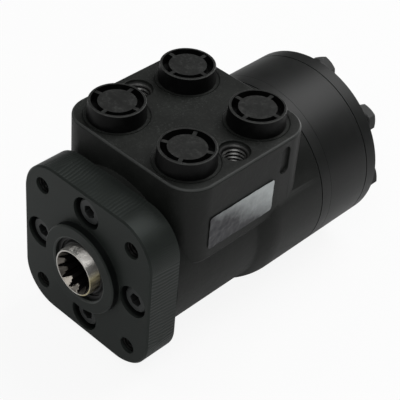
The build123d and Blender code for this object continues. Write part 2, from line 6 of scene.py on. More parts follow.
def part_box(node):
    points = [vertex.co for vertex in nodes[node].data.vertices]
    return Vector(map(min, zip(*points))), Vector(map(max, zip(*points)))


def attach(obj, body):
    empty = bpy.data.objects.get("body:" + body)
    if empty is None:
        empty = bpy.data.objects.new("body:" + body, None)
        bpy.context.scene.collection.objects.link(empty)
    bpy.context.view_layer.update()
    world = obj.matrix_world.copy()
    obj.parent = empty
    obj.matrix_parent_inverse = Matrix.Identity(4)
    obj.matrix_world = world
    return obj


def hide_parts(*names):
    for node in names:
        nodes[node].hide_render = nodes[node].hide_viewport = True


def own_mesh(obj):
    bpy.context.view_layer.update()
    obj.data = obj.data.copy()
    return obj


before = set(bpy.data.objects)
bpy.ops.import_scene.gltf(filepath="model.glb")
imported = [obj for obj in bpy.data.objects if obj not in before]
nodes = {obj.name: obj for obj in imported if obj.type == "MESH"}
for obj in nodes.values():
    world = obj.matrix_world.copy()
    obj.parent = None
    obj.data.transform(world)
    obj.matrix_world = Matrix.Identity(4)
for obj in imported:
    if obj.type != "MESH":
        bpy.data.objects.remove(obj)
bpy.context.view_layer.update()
mm = 0.001
print("frame loaded:", len(nodes), "nodes")


# where the camera stands and what it looks at
cameraSet = {
    "azimuth": 40.95,  # degrees, as are the next two
    "elevation": 39.72,
    "roll": 5.19,
    "distance": 513.75 * mm,
    "target": (60.17 * mm, 5.97 * mm, 74.05 * mm),
    "lens": 116.43,
}


def placeCamera(settings):
    azimuth = math.radians(settings["azimuth"])
    elevation = math.radians(settings["elevation"])
    back = Vector(
        (
            math.sin(azimuth) * math.cos(elevation),
            -math.cos(azimuth) * math.cos(elevation),
            math.sin(elevation),
        )
    )
    across = Vector((math.cos(azimuth), math.sin(azimuth), 0))
    upright = back.cross(across)
    turned = Matrix((across, upright, back)).transposed() @ Matrix.Rotation(
        math.radians(settings["roll"]), 3, "Z"
    )
    data = bpy.data.cameras.new("mainCamera")
    data.lens = settings["lens"]
    data.sensor_width = 36
    data.clip_start = 0.01
    data.clip_end = 20
    camera = bpy.data.objects.new("mainCamera", data)
    bpy.context.scene.collection.objects.link(camera)
    camera.matrix_world = Matrix.Translation(
        Vector(settings["target"]) + back * settings["distance"]
    ) @ turned.to_4x4()
    bpy.context.scene.camera = camera


placeCamera(cameraSet)
print("camera placed")


class Wire:
    # a value on its way between nodes; sums on it add Math nodes
    def __init__(self, sheet, socket):
        self.sheet = sheet
        self.socket = socket

    def sum(self, operation, *others, clamp=False):
        return self.sheet.add(
            "ShaderNodeMath", [self, *others], operation=operation, use_clamp=clamp
        )

    def __add__(self, other):
        return self.sum("ADD", other)

    def __radd__(self, other):
        return self.sum("ADD", other)

    def __sub__(self, other):
        return self.sum("SUBTRACT", other)

    def __rsub__(self, other):
        return self.sheet.add("ShaderNodeMath", [other, self], operation="SUBTRACT")

    def __mul__(self, other):
        return self.sum("MULTIPLY", other)

    def __rmul__(self, other):
        return self.sum("MULTIPLY", other)

    def __truediv__(self, other):
        return self.sum("DIVIDE", other)

    def __pow__(self, other):
        return self.sum("POWER", other)

    def __abs__(self):
        return self.sum("ABSOLUTE")

    def above(self, edge, soft):
        # 0 under the edge, 1 over it
        return self.sheet.add(
            "ShaderNodeMapRange", {"Value": self, "From Min": edge - soft, "From Max": edge + soft}
        )

    def below(self, edge, soft):
        return 1 - self.above(edge, soft)

    def wave(self, pitch):
        # rises and falls between 0 and 1 once in every pitch
        return (self * (2 * math.pi / pitch)).sum("SINE") * 0.5 + 0.5

    def clamped(self):
        return self.sum("ADD", 0.0, clamp=True)


class NodeSheet:
    # the node tree of a material or world; every node is added by one method
    def __init__(self, owner):
        owner.use_nodes = True
        self.tree = owner.node_tree

    def add(self, kind, inputs=(), out=0, **settings):
        node = self.tree.nodes.new(kind)
        for name, value in settings.items():
            setattr(node, name, value)
        pairs = inputs.items() if isinstance(inputs, dict) else enumerate(inputs)
        for key, value in pairs:
            socket = node.inputs[key]
            if isinstance(value, Wire):
                self.tree.links.new(value.socket, socket)
            elif socket.type == "RGBA":
                socket.default_value = (*value, 1.0)
            else:
                socket.default_value = value
        return Wire(self, node.outputs[out]) if node.outputs else None


class Finish(NodeSheet):
    # the nodes of one finish: x, y and z are in millimetres, faceX to faceZ are the normal
    def __init__(self, name, **fixed):
        self.material = bpy.data.materials.new(name)
        super().__init__(self.material)
        self.shader = self.tree.nodes["Principled BSDF"]
        for socket, value in fixed.items():
            self.shader.inputs[socket.replace("_", " ")].default_value = value
        self.place = self.add("ShaderNodeTexCoord", out="Object")
        self.x, self.y, self.z = (part / mm for part in self.split(self.place))
        facing = self.add("ShaderNodeNewGeometry", out="Normal")
        self.faceX, self.faceY, self.faceZ = self.split(facing)

    def split(self, vector):
        parts = self.add("ShaderNodeSeparateXYZ", [vector]).socket.node.outputs
        return [Wire(self, part) for part in parts]

    def fromCentre(self, across, up):
        # distance from a line, given the two coordinates measured from it
        return (across * across + up * up) ** 0.5

    def noise(self, scale, detail=3.0, rough=0.5, vector=None):
        # scale is in bumps per millimetre
        return self.add(
            "ShaderNodeTexNoise",
            {
                "Vector": vector or self.place,
                "Scale": scale / mm,
                "Detail": detail,
                "Roughness": rough,
            },
        )

    def blend(self, share, first, second):
        # colours: first where share is 0, second where it is 1
        return self.add("ShaderNodeMix", {0: share, 6: first, 7: second}, out=2, data_type="RGBA")

    def stretched(self, scale):
        # object coordinates scaled apart along x, y and z
        return self.add("ShaderNodeMapping", {"Vector": self.place, "Scale": scale})

    def bump(self, height, depth, under=None):
        # depth is in millimetres; under is the bump that lies below this one
        inputs = {"Height": height, "Distance": depth * mm, "Strength": 1.0}
        if under:
            inputs["Normal"] = under
        return self.add("ShaderNodeBump", inputs)

    def feed(self, **wires):
        for socket, wire in wires.items():
            self.tree.links.new(wire.socket, self.shader.inputs[socket.replace("_", " ")])
        return self.material


# the finishes' lengths are in millimetres: heights along z, depths along y, radii from the shaft
# centres of the tapped holes, two in the port face and four in the column flange
studCentre = (31.0, 59.8)
columnOffset = 82.5 / 2 * math.cos(math.radians(45))


castPaint = {
    "colour": (0.0068, 0.0076, 0.0067),
    "dusty": (0.0162, 0.0178, 0.0160),
    "rubbed": (0.0420, 0.0450, 0.0430),
    "dark": (0.0016, 0.0016, 0.0016),
    "roughness": 0.44,
    "grainPerMm": 0.8,
    "grainDepth": 0.06,
    "waveDepth": 0.16,
    "topAt": 54.7,  # height of the port face
    "edgeBand": 1.1,  # band below it, rubbed and also given a painted highlight
    "turnedFrom": 84.0,
    "insideRadius": 21.2,
    "bare": (0.085, 0.085, 0.083),
    "studMouth": 7.25,
    "bareFrom": 1.9,  # below the port face, as is the next
    "bareTo": 17.5,
}


def paintedCasting(name, settings):
    sheet = Finish(name, Specular_IOR_Level=0.2)
    grain = sheet.noise(settings["grainPerMm"], detail=4.0, rough=0.6)
    wave = sheet.noise(0.16, detail=2.0)
    patch = sheet.noise(0.05, detail=4.0, rough=0.65)
    fleck = sheet.noise(0.55, detail=5.0, rough=0.75)
    # the port face is milled and the rear end turned, so both are smoother than the cast skin
    top = sheet.z.above(settings["topAt"] - 0.5, 0.1)
    turnedEnd = sheet.y.above(settings["turnedFrom"] - 3, 3)
    cast = (1 - top * 0.35) * (1 - turnedEnd * 0.75)
    dust = (
        patch.above(0.54, 0.14) * 0.5
        + fleck.above(0.58, 0.06) * patch.above(0.44, 0.1) * (0.4 + top * 0.6)
    ).clamped()
    # paint rubbed thin along the port face's edge, which also carries a painted highlight there
    slope = sheet.faceZ.above(0.45, 0.1) * sheet.faceZ.below(0.93, 0.03)
    edge = slope * sheet.z.above(settings["topAt"] - settings["edgeBand"], 0.15)
    colour = sheet.blend(dust, settings["colour"], settings["dusty"])
    # small scuffs in the port face's paint
    scuff = sheet.noise(1.1, detail=4.0, rough=0.75).above(0.6, 0.05)
    near = sheet.noise(0.09, detail=3.0).above(0.5, 0.08)
    colour = sheet.blend(scuff * near * top * 0.7, colour, settings["rubbed"])
    colour = sheet.blend(edge * (0.45 + patch * 0.7), colour, settings["rubbed"])
    # near black inside the bore, within insideRadius of the shaft
    inside = sheet.fromCentre(sheet.x, sheet.z).below(settings["insideRadius"], 0.2)
    colour = sheet.blend(inside, colour, settings["dark"])
    # the tapped holes are cut after painting: bare metal below their counterbores
    fromStud = sheet.fromCentre(abs(sheet.x) - studCentre[0], sheet.y - studCentre[1])
    # above bareFrom each mouth keeps its dark paint, a band that also serves as painted shade on
    # the far wall
    bare = (
        fromStud.below(settings["studMouth"], 0.05)
        * sheet.z.below(settings["topAt"] - settings["bareFrom"], 0.15)
        * sheet.z.above(settings["topAt"] - settings["bareTo"], 0.05)
    )
    colour = sheet.blend(bare, colour, settings["bare"])
    rough = settings["roughness"] + patch * 0.12 + grain * 0.08 - turnedEnd * 0.06 - edge * 0.1
    normal = sheet.bump(
        grain * cast, settings["grainDepth"], sheet.bump(wave * cast, settings["waveDepth"])
    )
    return sheet.feed(Base_Color=colour, Roughness=rough, Metallic=bare, Normal=normal)


flangePaint = {
    "colour": (0.0166, 0.0192, 0.0176),
    "worn": (0.0275, 0.0315, 0.0290),
    "rubbed": (0.0900, 0.0960, 0.0920),
    "dark": (0.0012, 0.0014, 0.0014),
    "roughness": 0.36,
    "cutPitch": 1.95,  # mill marks across the edge
    "cutDepth": 0.13,
    "ringPitch": 0.9,  # mill marks on the face
    "halfSide": 41.8,
    "lipRadius": 17.1,
    "lipTo": -3.4,
    "rimRadius": 22.3,
    "rimTo": -3.95,
    "wallShadeFrom": -3.85,
    "wallShadeTo": -0.3,
    "holeShadeFrom": 1.3,
}


def paintedFlange(name, settings):
    sheet = Finish(name, Specular_IOR_Level=0.14, Specular_Tint=(0.90, 1.0, 0.96, 1.0))
    fine = sheet.noise(1.5, detail=3.0)
    patch = sheet.noise(0.07, detail=3.0)
    # end-mill marks across the thickness, on the four flats and round the corners
    wobble = sheet.noise(0.06, detail=2.0) * 3.0
    along = sheet.x * abs(sheet.faceZ) + sheet.z * abs(sheet.faceX)
    cuts = (along + wobble + sheet.y * 0.12).wave(settings["cutPitch"])
    side = abs(sheet.faceY).below(0.5, 0.1)
    fade = sheet.noise(0.04, detail=1.0).above(0.46, 0.12)
    reach = sheet.fromCentre(sheet.x, sheet.z)
    outer = reach.above(settings["halfSide"] - 2.0, 0.5)
    cutMask = side * outer * (0.15 + fade * 0.85)
    # circular mill marks on the face
    rings = (reach + fine * 0.3).wave(settings["ringPitch"])
    face = (0 - sheet.faceY).above(0.9, 0.05)
    dust = (patch.above(0.56, 0.14) * 0.3 + cuts * cutMask * 0.6 + rings * face * 0.06).clamped()
    colour = sheet.blend(dust, settings["colour"], settings["worn"])
    # the bore's edge is rubbed and also given a painted highlight; the centring ring's rim gets a
    # painted highlight
    lipWearAndHighlight = reach.below(settings["lipRadius"], 0.1) * sheet.y.below(settings["lipTo"], 0.1)
    colour = sheet.blend(lipWearAndHighlight * (0.4 + patch * 0.6), colour, settings["rubbed"])
    # painted highlight on the centring ring's rim
    rimHighlight = reach.above(settings["rimRadius"], 0.1) * sheet.y.below(settings["rimTo"], 0.05)
    rimHighlight = rimHighlight * (1 - outer)
    colour = sheet.blend(rimHighlight * (0.15 + patch * 0.5), colour, settings["rubbed"])
    # painted shade: the centring ring's wall is darkened
    wall = (
        side
        * (1 - outer)
        * sheet.y.below(settings["wallShadeTo"], 0.2)
        * reach.above(settings["rimRadius"], 0.2)
        * sheet.y.above(settings["wallShadeFrom"], 0.05)
    )
    colour = sheet.blend(wall * 0.85, colour, settings["dark"])
    # painted shade: the holes are darkened inside
    deep = sheet.y.above(settings["holeShadeFrom"], 0.6) * (1 - outer)
    colour = sheet.blend(deep, colour, settings["dark"])
    rough = settings["roughness"] + patch * 0.12 + deep * 0.4
    normal = sheet.bump(rings * face, 0.008, sheet.bump(fine, 0.008))
    normal = sheet.bump(cuts * cutMask, settings["cutDepth"], normal)
    return sheet.feed(Base_Color=colour, Roughness=rough, Normal=normal)


turnedPaint = {
    "colour": (0.0085, 0.0091, 0.0087),
    "dusty": (0.0190, 0.0200, 0.0192),
    "roughness": 0.36,
}


def paintedTurned(name, settings):
    sheet = Finish(name, Specular_IOR_Level=0.22)
    fine = sheet.noise(1.1, detail=3.0)
    patch = sheet.noise(0.04, detail=3.0)
    rings = sheet.noise(1.0, detail=2.0, vector=sheet.stretched((0.05, 1.0, 0.05)))
    dust = (patch.above(0.55, 0.15) * 0.5 + rings.above(0.6, 0.1) * 0.12).clamped()
    colour = sheet.blend(dust, settings["colour"], settings["dusty"])
    rough = settings["roughness"] + patch * 0.12 + rings * 0.05
    normal = sheet.bump(rings, 0.012, sheet.bump(fine, 0.015))
    return sheet.feed(Base_Color=colour, Roughness=rough, Normal=normal)


blackScrew = {
    "colour": (0.0110, 0.0130, 0.0128),
    "worn": (0.0240, 0.0270, 0.0265),
    "rubbed": (0.0620, 0.0660, 0.0640),
    "dark": (0.0015, 0.0016, 0.0016),
    "roughness": 0.38,
    "circleRadius": 31.2,  # of the four screws
    "socketRadius": 3.3,
    "socketShadeFrom": 2.5,
    "chamferRadius": 5.9,
    "chamferTo": 2.7,
}


def darkScrew(name, settings):
    sheet = Finish(name, Specular_IOR_Level=0.4)
    patch = sheet.noise(0.4, detail=3.0)
    outward = abs(sheet.x).sum("MAXIMUM", abs(sheet.z)) - settings["circleRadius"]
    across = abs(sheet.x).sum("MINIMUM", abs(sheet.z))
    fromAxis = sheet.fromCentre(outward, across)
    # the head's chamfer is worn by the counterbore, and the socket is darkened as painted shade
    worn = fromAxis.above(settings["chamferRadius"], 0.1)
    worn = worn * sheet.y.below(settings["chamferTo"], 0.1)
    socket = fromAxis.below(settings["socketRadius"], 0.1)
    socket = socket * sheet.y.above(settings["socketShadeFrom"], 0.3)
    colour = sheet.blend(patch.above(0.5, 0.2), settings["colour"], settings["worn"])
    colour = sheet.blend(worn * (0.2 + patch * 0.5), colour, settings["rubbed"])
    colour = sheet.blend(socket, colour, settings["dark"])
    rough = settings["roughness"] + patch * 0.15 + socket * 0.3
    return sheet.feed(
        Base_Color=colour, Roughness=rough, Normal=sheet.bump(sheet.noise(3.0), 0.02)
    )


turnedSteel = {
    "bright": (0.74, 0.72, 0.68),
    "dull": (0.40, 0.385, 0.36),
    "straw": (0.50, 0.42, 0.16),
    "darkBrown": (0.06, 0.052, 0.042),
    "cone": (0.19, 0.175, 0.155),
    "dark": (0.020, 0.018, 0.018),
    "roughness": 0.24,
    "linePitch": 0.16,
    "coneEnd": -3.3,
    "wall": 10.95,  # radius that parts the socket from the outside
    "neckRadius": 12.0,
    "brownBelow": 2.6,
}


def steelNose(name, settings):
    sheet = Finish(name, Metallic=1.0)
    radius = sheet.fromCentre(sheet.x, sheet.z)
    face = abs(sheet.faceY).above(0.7, 0.1)
    outer = radius.above(settings["wall"], 0.03)
    across = radius * face + sheet.y * (1 - face)
    lines = across.wave(settings["linePitch"])
    streaks = sheet.noise(2.2, detail=2.0, vector=sheet.stretched((0.12, 1.0, 0.12)))
    stain = sheet.noise(0.16, detail=3.0)
    # oil stains gather to the right of the neck
    side = ((sheet.x - sheet.z * 0.4) / settings["neckRadius"]).above(0.72, 0.12)
    straw = (side * outer * stain.above(0.4, 0.1)).clamped()
    inside = 1 - outer
    # inside, only the lead-in cone faces forward; the gaps and all behind it are darkened as
    # painted shade
    cone = (0 - sheet.faceY).above(0.25, 0.05)
    deep = (inside * (1 - cone) + inside * sheet.y.above(settings["coneEnd"], 0.3)).clamped()
    # the neck's lower right side is drawn darker and browner
    low = sheet.z.below(settings["brownBelow"], 1.0)
    brown = (side * outer * low * (1 - face)).clamped()
    worn = sheet.blend(streaks * 0.6, settings["bright"], settings["dull"])
    colour = sheet.blend(straw * 0.7, worn, settings["straw"])
    colour = sheet.blend(brown * (0.6 + stain * 0.4), colour, settings["darkBrown"])
    colour = sheet.blend(inside, colour, settings["cone"])
    colour = sheet.blend(deep, colour, settings["dark"])
    rough = settings["roughness"] + stain * 0.12 + deep * 0.3
    normal = sheet.bump(lines * outer, 0.026, sheet.bump(streaks * outer, 0.012))
    return sheet.feed(Base_Color=colour, Roughness=rough, Normal=normal)


plainSteels = {
    "groundSteel": {"colour": (0.55, 0.55, 0.54), "roughness": 0.22},
    "bearingSteel": {"colour": (0.62, 0.62, 0.62), "roughness": 0.16},
    "gearSteel": {"colour": (0.5, 0.5, 0.5), "roughness": 0.28},
    "springSteel": {"colour": (0.30, 0.33, 0.42), "roughness": 0.25},
}


def plainSteel(name, settings):
    sheet = Finish(name, Metallic=1.0)
    grain = sheet.noise(1.8, detail=3.0)
    colour = settings["colour"]
    tone = sheet.blend(grain * 0.5, colour, tuple(c * 0.6 for c in colour))
    rough = settings["roughness"] + grain * 0.12
    return sheet.feed(Base_Color=tone, Roughness=rough, Normal=sheet.bump(grain, 0.012))


studSteel = {
    "centre": studCentre,
    "upright": True,
    "crest": 4.95,
    "root": 5.85,
    "bright": (0.13, 0.13, 0.126),
    "grooveShade": (0.006, 0.006, 0.006),
    "roughness": 0.36,
}
columnSteel = {
    "centre": (columnOffset, columnOffset),
    "upright": False,
    "crest": 3.65,
    "root": 4.2,
    # kept dark as painted shade deep in the column holes
    "bright": (0.020, 0.020, 0.019),
    "grooveShade": (0.006, 0.006, 0.006),
    "roughness": 0.36,
}


def cutSteel(name, settings):
    # bright on the crests, darkened down in the grooves as painted shade
    sheet = Finish(name, Metallic=1.0)
    second = sheet.y if settings["upright"] else abs(sheet.z)
    centre = settings["centre"]
    radius = sheet.fromCentre(abs(sheet.x) - centre[0], second - centre[1])
    grain = sheet.noise(1.8, detail=3.0)
    span = settings["root"] - settings["crest"]
    groove = radius.above(settings["crest"] + span * 0.62, span * 0.22)
    grooveShadeShare = (groove + grain * 0.2).clamped()
    colour = sheet.blend(grooveShadeShare, settings["bright"], settings["grooveShade"])
    rough = settings["roughness"] + groove * 0.3
    return sheet.feed(Base_Color=colour, Roughness=rough, Normal=sheet.bump(grain, 0.01))


plugPlastic = {
    "colour": (0.0028, 0.0029, 0.0029),
    "rubbed": (0.0220, 0.0226, 0.0218),
    "chalk": (0.0650, 0.0670, 0.0640),
    "roughness": 0.34,
    "topAt": 62.3,  # height of the plugs' tops
}


def mouldedPlug(name, settings):
    sheet = Finish(name, Specular_IOR_Level=0.13)
    satin = sheet.noise(2.2, detail=3.0)
    flow = sheet.noise(0.22, detail=3.0)
    fleck = sheet.noise(0.5, detail=5.0, rough=0.8)
    top = sheet.faceZ.above(0.8, 0.1) * sheet.z.above(settings["topAt"] - 0.3, 0.1)
    # the top faces are lighter: partly rubbed plastic, partly painted light on the upward faces
    rubbed = (top * (0.5 + flow * 0.5) + flow.above(0.62, 0.1) * 0.12).clamped()
    chalk = top * fleck.above(0.56, 0.07) * flow.above(0.42, 0.12)
    colour = sheet.blend(rubbed, settings["colour"], settings["rubbed"])
    colour = sheet.blend(chalk * 0.4, colour, settings["chalk"])
    # painted highlight: the rim's rounded edge is given the chalk colour
    rimHighlight = sheet.faceZ.above(0.25, 0.1) * sheet.faceZ.below(0.97, 0.01)
    rimHighlight = rimHighlight * sheet.z.above(settings["topAt"] + 0.1, 0.1)
    colour = sheet.blend(rimHighlight * 0.6, colour, settings["chalk"])
    return sheet.feed(
        Base_Color=colour,
        Roughness=settings["roughness"] + flow * 0.16,
        Normal=sheet.bump(satin, 0.008),
    )


blackRubber = {
    "colour": (0.012, 0.012, 0.012),
    "dusty": (0.024, 0.024, 0.024),
    "roughness": 0.5,
}


def sealRubber(name, settings):
    sheet = Finish(name, Specular_IOR_Level=0.4)
    grain = sheet.noise(1.5, detail=2.0)
    colour = sheet.blend(grain, settings["colour"], settings["dusty"])
    rough = settings["roughness"] + grain * 0.1
    return sheet.feed(Base_Color=colour, Roughness=rough, Normal=sheet.bump(grain, 0.02))


labelFilm = {
    "light": (0.46, 0.49, 0.49),
    "shadedFilm": (0.032, 0.032, 0.036),
    "roughness": 0.28,
    "middle": (54.0, 27.0),  # back and up
    "span": (22.0, 13.0),
}


def silverFilm(name, settings):
    sheet = Finish(name, Metallic=0.6)
    crease = sheet.noise(0.11, detail=5.0, rough=0.6)
    rubbed = sheet.noise(0.5, detail=4.0, rough=0.65)
    # painted reflection: the film is drawn dark grey, brighter towards the upper rear corner and
    # broken up along its creases
    back = (sheet.y - settings["middle"][0]) / settings["span"][0]
    up = (sheet.z - settings["middle"][1]) / settings["span"][1]
    slope = back + up + crease * 1.3 - 0.65
    share = (slope.above(0.42, 0.62) * 0.9 + rubbed.above(0.6, 0.12) * 0.05).clamped()
    colour = sheet.blend(share, settings["shadedFilm"], settings["light"])
    return sheet.feed(
        Base_Color=colour,
        Roughness=settings["roughness"] + crease * 0.18,
        Normal=sheet.bump(crease, 0.12),
    )


casting = paintedCasting("castPaint", castPaint)
flangeFinish = paintedFlange("flangePaint", flangePaint)
turned = paintedTurned("turnedPaint", turnedPaint)
screwFinish = darkScrew("screwBlack", blackScrew)
nose = steelNose("noseSteel", turnedSteel)
ground, hard, gear, spring = (plainSteel(name, plainSteels[name]) for name in plainSteels)
studFinish = cutSteel("studSteel", studSteel)
columnFinish = cutSteel("columnSteel", columnSteel)
plugFinish = mouldedPlug("plugPlastic", plugPlastic)
rubber = sealRubber("sealRubber", blackRubber)
film = silverFilm("labelFilm", labelFilm)

# which finish each node wears
dressing = {
    "housing": casting,
    "front_flange": flangeFinish,
    "distributor_plate": turned,
    "gear_ring": turned,
    "end_cover": turned,
    "cover_screws": turned,
    "cover_washers": turned,
    "flange_screws": screwFinish,
    "valve_spool": nose,
    "valve_sleeve": ground,
    "cross_pin": hard,
    "spring_ring": ground,
    "centring_springs": spring,
    "thrust_race_front": hard,
    "thrust_race_rear": hard,
    "thrust_needles": hard,
    "rotor": gear,
    "cardan_shaft": gear,
    "drive_spacer": ground,
    "check_ball": hard,
    "check_bush": ground,
    "port_plug_p": plugFinish,
    "port_plug_t": plugFinish,
    "port_plug_l": plugFinish,
    "port_plug_r": plugFinish,
    "dust_seal": rubber,
    "shaft_seal": rubber,
    "flange_ring": rubber,
    "housing_ring": rubber,
    "plate_ring": rubber,
    "cover_ring": rubber,
    "blank_label": film,
}


def dress(piece, finish):
    if not piece.material_slots:
        piece.data.materials.append(finish)
    for slot in piece.material_slots:
        slot.material = finish


for name, finish in dressing.items():
    dress(nodes[name], finish)
print("finishes on", len(dressing), "nodes")


def deselect():
    if bpy.context.mode != "OBJECT":
        bpy.ops.object.mode_set(mode="OBJECT")
    bpy.ops.object.select_all(action="DESELECT")


def selectOnly(piece):
    deselect()
    piece.select_set(True)
    bpy.context.view_layer.objects.active = piece


def ownCopy(source, name):
    # a copy with its own mesh
    piece = source.copy()
    piece.data = source.data.copy()
    piece.name = name
    piece.parent = None
    bpy.context.scene.collection.objects.link(piece)
    return piece


mergeWithin = 0.002 * mm


def mergedCopy(nodeName, pieceName):
    # a node's triangles come loose, so its copy is merged; it ends selected and active
    piece = ownCopy(nodes[nodeName], pieceName)
    selectOnly(piece)
    bpy.ops.object.mode_set(mode="EDIT")
    bpy.ops.mesh.select_all(action="SELECT")
    bpy.ops.mesh.remove_doubles(threshold=mergeWithin)
    bpy.ops.object.mode_set(mode="OBJECT")
    return piece


def bakePlace(piece):
    # the place goes into the mesh, so the object ends at the origin
    selectOnly(piece)
    bpy.ops.object.transform_apply(location=True, rotation=True, scale=True)


def applied(piece, kind, **settings):
    # a modifier is added, set and applied
    step = piece.modifiers.new(kind.lower(), kind)
    for name, value in settings.items():
        setattr(step, name, value)
    bpy.ops.object.modifier_apply(modifier=step.name)


def smoothBelow(degrees):
    bpy.ops.object.shade_smooth_by_angle(angle=math.radians(degrees))


# edges broken on a merged copy of each solid: width in mm, angle in degrees
softEdges = {
    "front_flange": {"width": 0.3, "angle": 32, "clamp": True},
    "housing": {"width": 0.4, "angle": 32, "clamp": False},
    "distributor_plate": {"width": 0.16, "angle": 32, "clamp": True},
    "gear_ring": {"width": 0.16, "angle": 32, "clamp": True},
    "end_cover": {"width": 0.3, "angle": 32, "clamp": True},
    "cover_screws": {"width": 0.25, "angle": 28, "clamp": True},
    "cover_washers": {"width": 0.2, "angle": 32, "clamp": True},
    "flange_screws": {"width": 0.22, "angle": 28, "clamp": True},
}


def breakEdges(name, settings):
    piece = mergedCopy(name, name + "_soft")
    bpy.ops.object.mode_set(mode="EDIT")
    bpy.ops.mesh.select_all(action="SELECT")
    bpy.ops.mesh.customdata_custom_splitnormals_clear()
    bpy.ops.mesh.mark_sharp(clear=True)
    bpy.ops.object.mode_set(mode="OBJECT")
    applied(
        piece,
        "BEVEL",
        width=settings["width"] * mm,
        segments=2,
        limit_method="ANGLE",
        angle_limit=math.radians(settings["angle"]),
        use_clamp_overlap=settings["clamp"],
        loop_slide=False,  # slid loops would run out along the thin triangles
    )
    smoothBelow(40)
    applied(piece, "WEIGHTED_NORMAL", keep_sharp=True)
    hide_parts(name)
    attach(piece, "root")


for name, settings in softEdges.items():
    breakEdges(name, settings)
print("edges broken on", len(softEdges), "pieces")


# the leaf springs get a merged copy with bevelled edges, which rides with the sleeve
leafSet = {"keep": 0.22, "bevel": 0.08}


def layLeaves(settings):
    leaves = mergedCopy("centring_springs", "leaf_springs")
    applied(leaves, "BEVEL", width=settings["bevel"] * mm, segments=1)
    smoothBelow(35)
    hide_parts("centring_springs")
    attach(leaves, "sleeve")
    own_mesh(leaves)


layLeaves(leafSet)


# the nose: each spline gap runs out to the rim as a V, given as (half width, radius) in mm
noseGaps = {
    "count": 12,
    "halfSection": ((0.0, 10.75), (0.72, 10.0), (1.3, 8.4), (1.6, 7.4)),
    "from": -8.5,
    "to": 13.0,
    "socketRadius": 10.9,
}


def gapCutter(settings):
    # one gap's section is drawn out along the shaft, then copied round it
    half = settings["halfSection"]
    outline = [*half, *((-x, r) for x, r in reversed(half[1:]))]
    length = settings["to"] - settings["from"]
    deselect()
    bpy.ops.mesh.primitive_circle_add(vertices=len(outline), radius=1.0, fill_type="NGON")
    first = bpy.context.object
    for vertex, (x, r) in zip(first.data.vertices, outline):
        vertex.co = (x * mm, settings["from"] * mm, r * mm)
    bpy.ops.object.mode_set(mode="EDIT")
    bpy.ops.mesh.select_all(action="SELECT")
    bpy.ops.mesh.extrude_region_move(TRANSFORM_OT_translate={"value": (0, length * mm, 0)})
    bpy.ops.mesh.select_all(action="SELECT")
    bpy.ops.mesh.normals_make_consistent(inside=False)
    bpy.ops.object.mode_set(mode="OBJECT")
    gaps = []
    for i in range(settings["count"]):
        gap = ownCopy(first, "gap")
        gap.rotation_euler = (0, math.radians((i + 0.5) * 360 / settings["count"] + 90), 0)
        bakePlace(gap)
        gaps.append(gap)
    bpy.data.objects.remove(first)
    selectOnly(gaps[0])
    for gap in gaps:
        gap.select_set(True)
    bpy.ops.object.join()
    return bpy.context.object


def cutNose(settings):
    piece = mergedCopy("valve_spool", "spool_nose")
    cutter = gapCutter(settings)
    selectOnly(piece)
    applied(piece, "BOOLEAN", operation="DIFFERENCE", solver="EXACT", object=cutter)
    bpy.data.objects.remove(cutter)
    smoothBelow(24)
    # the cut facets inside are levelled, and the turned outside keeps its own normals
    socket = piece.vertex_groups.new(name="socket")
    reach = settings["socketRadius"] * mm
    inner = [v.index for v in piece.data.vertices if math.hypot(v.co.x, v.co.z) < reach]
    socket.add(inner, 1.0, "REPLACE")
    applied(piece, "WEIGHTED_NORMAL", keep_sharp=True, weight=100, vertex_group=socket.name)
    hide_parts("valve_spool")
    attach(piece, "spool")


cutNose(noseGaps)
print("nose cut")


# the label film is thin, creased and lifting at its edges; sizes in mm
filmSet = {
    "size": (42.1, 17.9),
    "grid": (84, 36),
    "middle": (55.75, 27.15),  # back and up
    "cornerRadius": 1.4,
    "gap": 0.04,
    "lift": 0.34,
    "creaseSize": 9.0,
    "creases": (("CLOUDS", 1.0, 1.0), ("MUSGRAVE", 0.45, 0.5)),  # kind, share of size and lift
    "thickness": 0.09,
}


def layFilm(settings):
    width, height = settings["size"]
    deselect()
    columns, rows = settings["grid"]
    bpy.ops.mesh.primitive_grid_add(x_subdivisions=columns, y_subdivisions=rows, size=1.0)
    sheet = bpy.context.object
    sheet.name = "label_film"
    sheet.scale = (width * mm, height * mm, 1)
    bpy.ops.object.transform_apply(scale=True)
    corner = settings["cornerRadius"] * mm
    for vertex in sheet.data.vertices:
        # corners drawn in to their round
        dx = abs(vertex.co.x) - (width / 2 * mm - corner)
        dy = abs(vertex.co.y) - (height / 2 * mm - corner)
        if dx > 0 and dy > 0:
            reach = max(dx, dy) / math.hypot(dx, dy)
            vertex.co.x -= math.copysign(dx * (1 - reach), vertex.co.x)
            vertex.co.y -= math.copysign(dy * (1 - reach), vertex.co.y)
    for kind, size, share in settings["creases"]:
        wrinkle = bpy.data.textures.new("wrinkle" + kind.title(), type=kind)
        wrinkle.noise_scale = settings["creaseSize"] * size * mm
        applied(
            sheet,
            "DISPLACE",
            texture=wrinkle,
            texture_coords="LOCAL",
            strength=settings["lift"] * share * mm,
            mid_level=0,
        )
    applied(sheet, "SOLIDIFY", thickness=settings["thickness"] * mm, offset=1)
    smoothBelow(50)
    # stood up against the block's side
    sheet.rotation_euler = (math.radians(90), 0, math.radians(90))
    back, up = settings["middle"]
    sheet.location = (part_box("blank_label")[0].x + settings["gap"] * mm, back * mm, up * mm)
    bakePlace(sheet)
    dress(sheet, dressing["blank_label"])
    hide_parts("blank_label")
    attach(sheet, "root")
    print("label film", len(sheet.data.polygons), "faces")


layFilm(filmSet)


